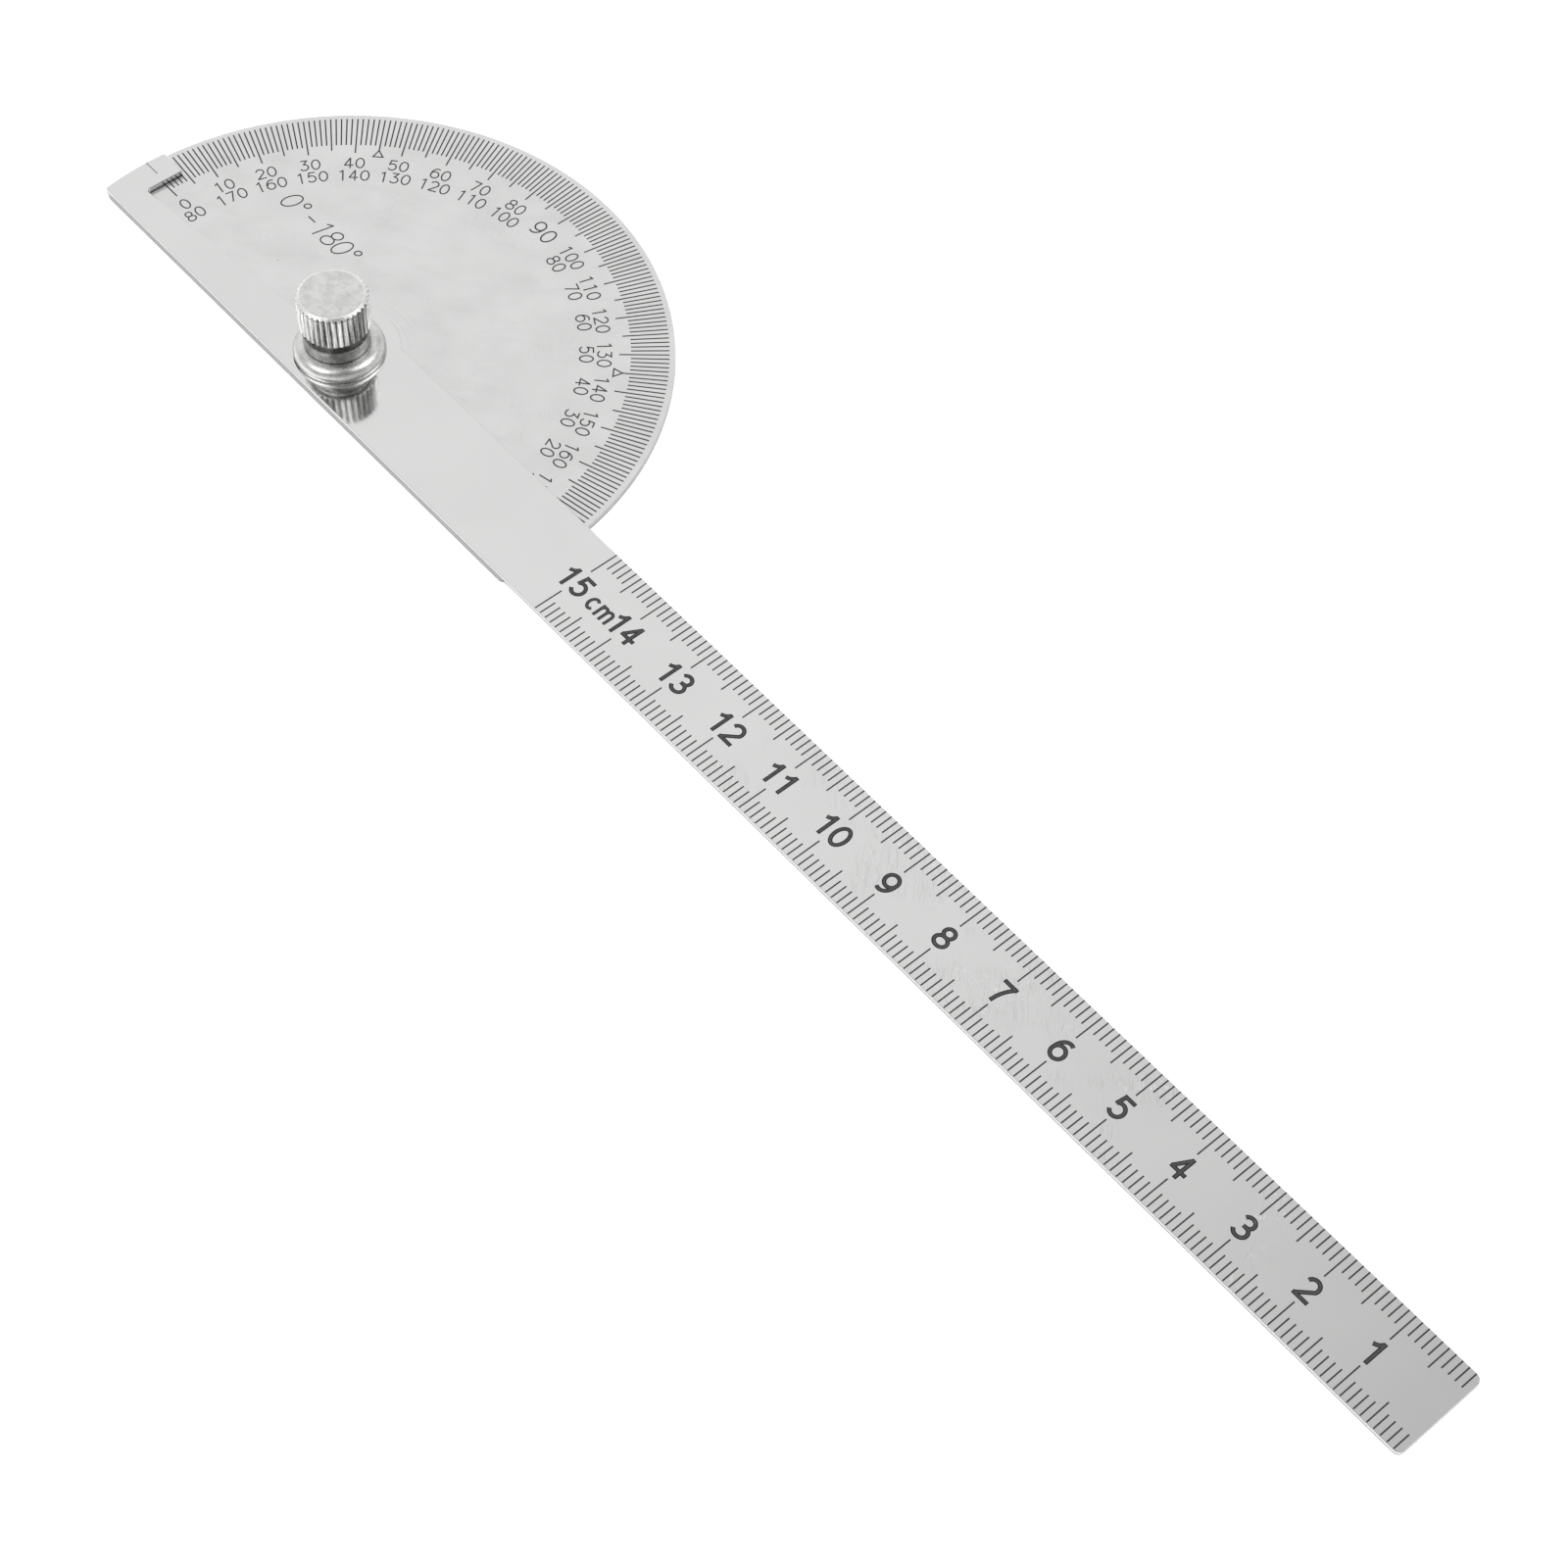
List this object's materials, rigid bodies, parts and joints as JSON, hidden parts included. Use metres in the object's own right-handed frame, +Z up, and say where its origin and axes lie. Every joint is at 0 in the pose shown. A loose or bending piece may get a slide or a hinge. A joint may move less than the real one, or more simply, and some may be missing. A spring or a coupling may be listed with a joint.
{
  "type": "protractor",
  "caption": "Semicircular steel protractor head with a swinging graduated rule, clamped at the pivot by a knurled thumb nut over a domed collar.",
  "frame": {"origin": "on the pivot axis, at the flat underside of the head", "axes": "+X along the rule towards its tip, +Y towards the 90 degree mark, +Z up out of the graduated faces"},
  "size_m": [0.2472, 0.0528, 0.0121],
  "materials": {
    "head_steel": "satin-polished stainless sheet with dark filled graduations",
    "stud_steel": "faced flush with the plate",
    "rule_steel": "polished stainless sheet with dark filled graduations",
    "washer_steel": "plain spring steel",
    "collar_nickel": "bright nickel plate",
    "nut_nickel": "bright nickel plate over turned brass, straight knurl"
  },
  "bodies": {
    "head": {"protractor_head": "head_steel", "pivot_stud": "stud_steel"},
    "arm": {"rule_arm": "rule_steel", "spring_washer": "washer_steel"},
    "collar": {"domed_collar": "collar_nickel"},
    "nut": {"thumb_nut": "nut_nickel"}
  },
  "joints": [
    {"name": "arm_swing", "type": "hinge", "parent": "head", "child": "arm", "pos_m": [0, 0, 0.00122], "axis": [0, 0, -1], "range_deg": [0, 180]},
    {"name": "collar_lift", "type": "slide", "parent": "head", "child": "collar", "axis": [0, 0, 1], "range_m": [0, 0.0007]},
    {"name": "nut_turn", "type": "hinge", "parent": "collar", "child": "nut", "pos_m": [0, 0, 0.008], "axis": [0, 0, 1], "range_deg": [0, 360]}
  ],
  "couplings": [
    {"joint": "nut_turn", "follows": "collar_lift", "rad_per_m": 8976}
  ]
}
